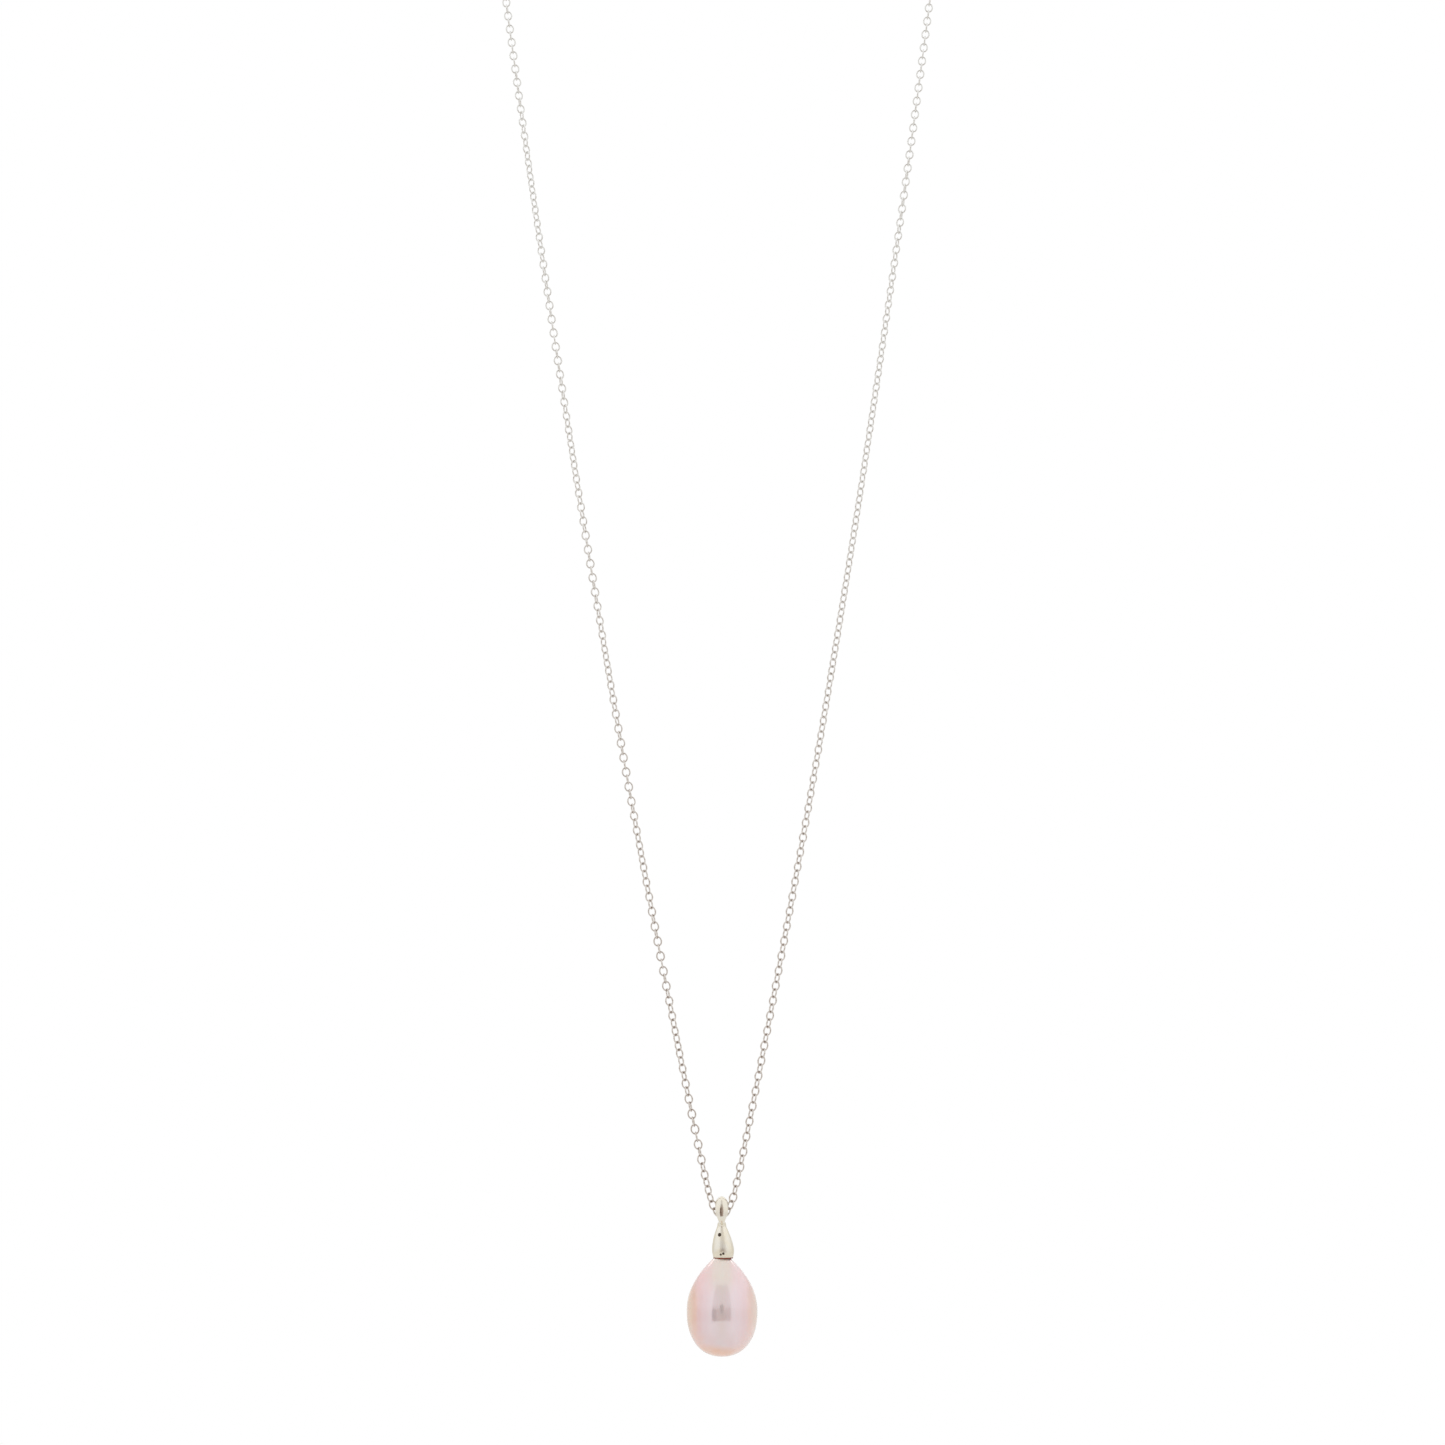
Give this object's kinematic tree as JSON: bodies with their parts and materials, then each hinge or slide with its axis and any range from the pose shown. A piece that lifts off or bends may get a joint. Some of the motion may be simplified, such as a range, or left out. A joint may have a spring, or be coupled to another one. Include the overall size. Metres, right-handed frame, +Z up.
{
  "type": "pearl pendant necklace",
  "caption": "Fine cable-chain necklace with a pink drop pearl under a band bail and cup, closed by a lobster clasp; shown hanging.",
  "frame": {"origin": "top of the round arm that the necklace hangs over, on the necklace's middle line", "axes": "+Z up, +X to the right seen from the front, the pearl's front faces -Y"},
  "size_m": [0.0614, 0.008, 0.2271],
  "materials": {
    "pearl_nacre": "gloss",
    "cap_metal": "polished",
    "chain_metal": "polished",
    "chain_run": "polished",
    "clasp_metal": "polished",
    "spring_wire": "satin",
    "cement": "satin"
  },
  "bodies": {
    "chain": {"chain_left": "chain_run", "chain_right": "chain_run", "bail_link_left_1": "chain_metal", "bail_link_left_2": "chain_metal", "bail_link_left_3": "chain_metal", "bail_link_left_4": "chain_metal", "bail_link_right_1": "chain_metal", "bail_link_right_2": "chain_metal", "bail_link_right_3": "chain_metal", "bail_link_right_4": "chain_metal", "chain_link_left_1": "chain_metal", "chain_link_left_2": "chain_metal", "chain_link_right_1": "chain_metal", "chain_link_right_2": "chain_metal"},
    "saddle": {"saddle_link": "chain_metal"},
    "pendant": {"bail_cap": "cap_metal", "pearl": "pearl_nacre", "pearl_peg": "cap_metal", "pearl_cement": "cement"},
    "jump_ring": {"clasp_jump_ring": "clasp_metal"},
    "end_ring": {"end_ring": "clasp_metal"},
    "clasp": {"clasp_body": "clasp_metal", "clasp_pin": "clasp_metal", "clasp_spring": "spring_wire"},
    "lever": {"clasp_lever": "clasp_metal"}
  },
  "joints": [
    {"name": "pendant_tilt", "type": "hinge", "parent": "chain", "child": "saddle", "pos_m": [0, 0, -0.2085], "axis": [0, 1, 0], "range_deg": [-5, 5]},
    {"name": "pendant_swing", "type": "hinge", "parent": "saddle", "child": "pendant", "pos_m": [0, 0, -0.2085], "axis": [1, 0, 0], "range_deg": [-145, 145]},
    {"name": "jump_ring_turn", "type": "hinge", "parent": "chain", "child": "jump_ring", "pos_m": [-0.00424, 0, 0.0013], "axis": [0, 1, 0], "continuous": true},
    {"name": "end_ring_turn", "type": "hinge", "parent": "chain", "child": "end_ring", "pos_m": [0.00424, 0, 0.0013], "axis": [0, 1, 0], "continuous": true},
    {"name": "clasp_sway", "type": "hinge", "parent": "chain", "child": "clasp", "pos_m": [-0.00284, 0, 0.0013], "axis": [0, 0, 1], "range_deg": [-2, 2]},
    {"name": "clasp_lever_turn", "type": "hinge", "parent": "clasp", "child": "lever", "pos_m": [-0.0009, -0.0006, 0.0013], "axis": [0, 0, 1], "range_deg": [0, 25], "stiffness_Nm_per_rad": 0.002, "springref_deg": -11.46, "deforming": ["clasp_spring"]}
  ]
}
